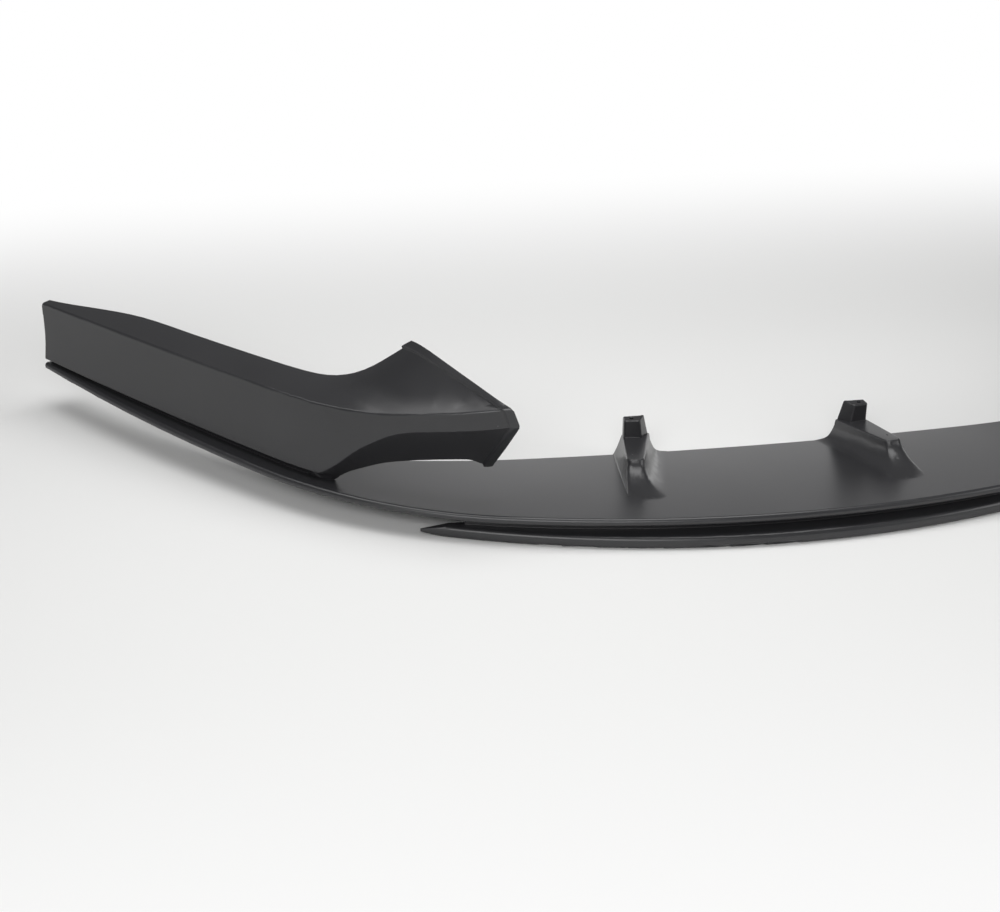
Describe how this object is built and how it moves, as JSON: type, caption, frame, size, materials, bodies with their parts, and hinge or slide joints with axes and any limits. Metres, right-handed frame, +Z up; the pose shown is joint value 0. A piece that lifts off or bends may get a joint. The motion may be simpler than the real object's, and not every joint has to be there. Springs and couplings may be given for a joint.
{
  "type": "front splitter lip",
  "caption": "Wide bowed front splitter lip for a car bumper: thin tiered blade with a straight rear edge, raised mounting bosses, upright side walls and forked wings.",
  "frame": {"origin": "centre of the bottom of the bounding box, on the floor under the moulding", "axes": "+X across the car along the lip, -Y forwards out of the front edge, +Z up"},
  "size_m": [1.7298, 0.5136, 0.2035],
  "materials": {
    "satin_black_abs": "satin"
  },
  "bodies": {
    "root": {"front_splitter": "satin_black_abs"}
  },
  "joints": []
}
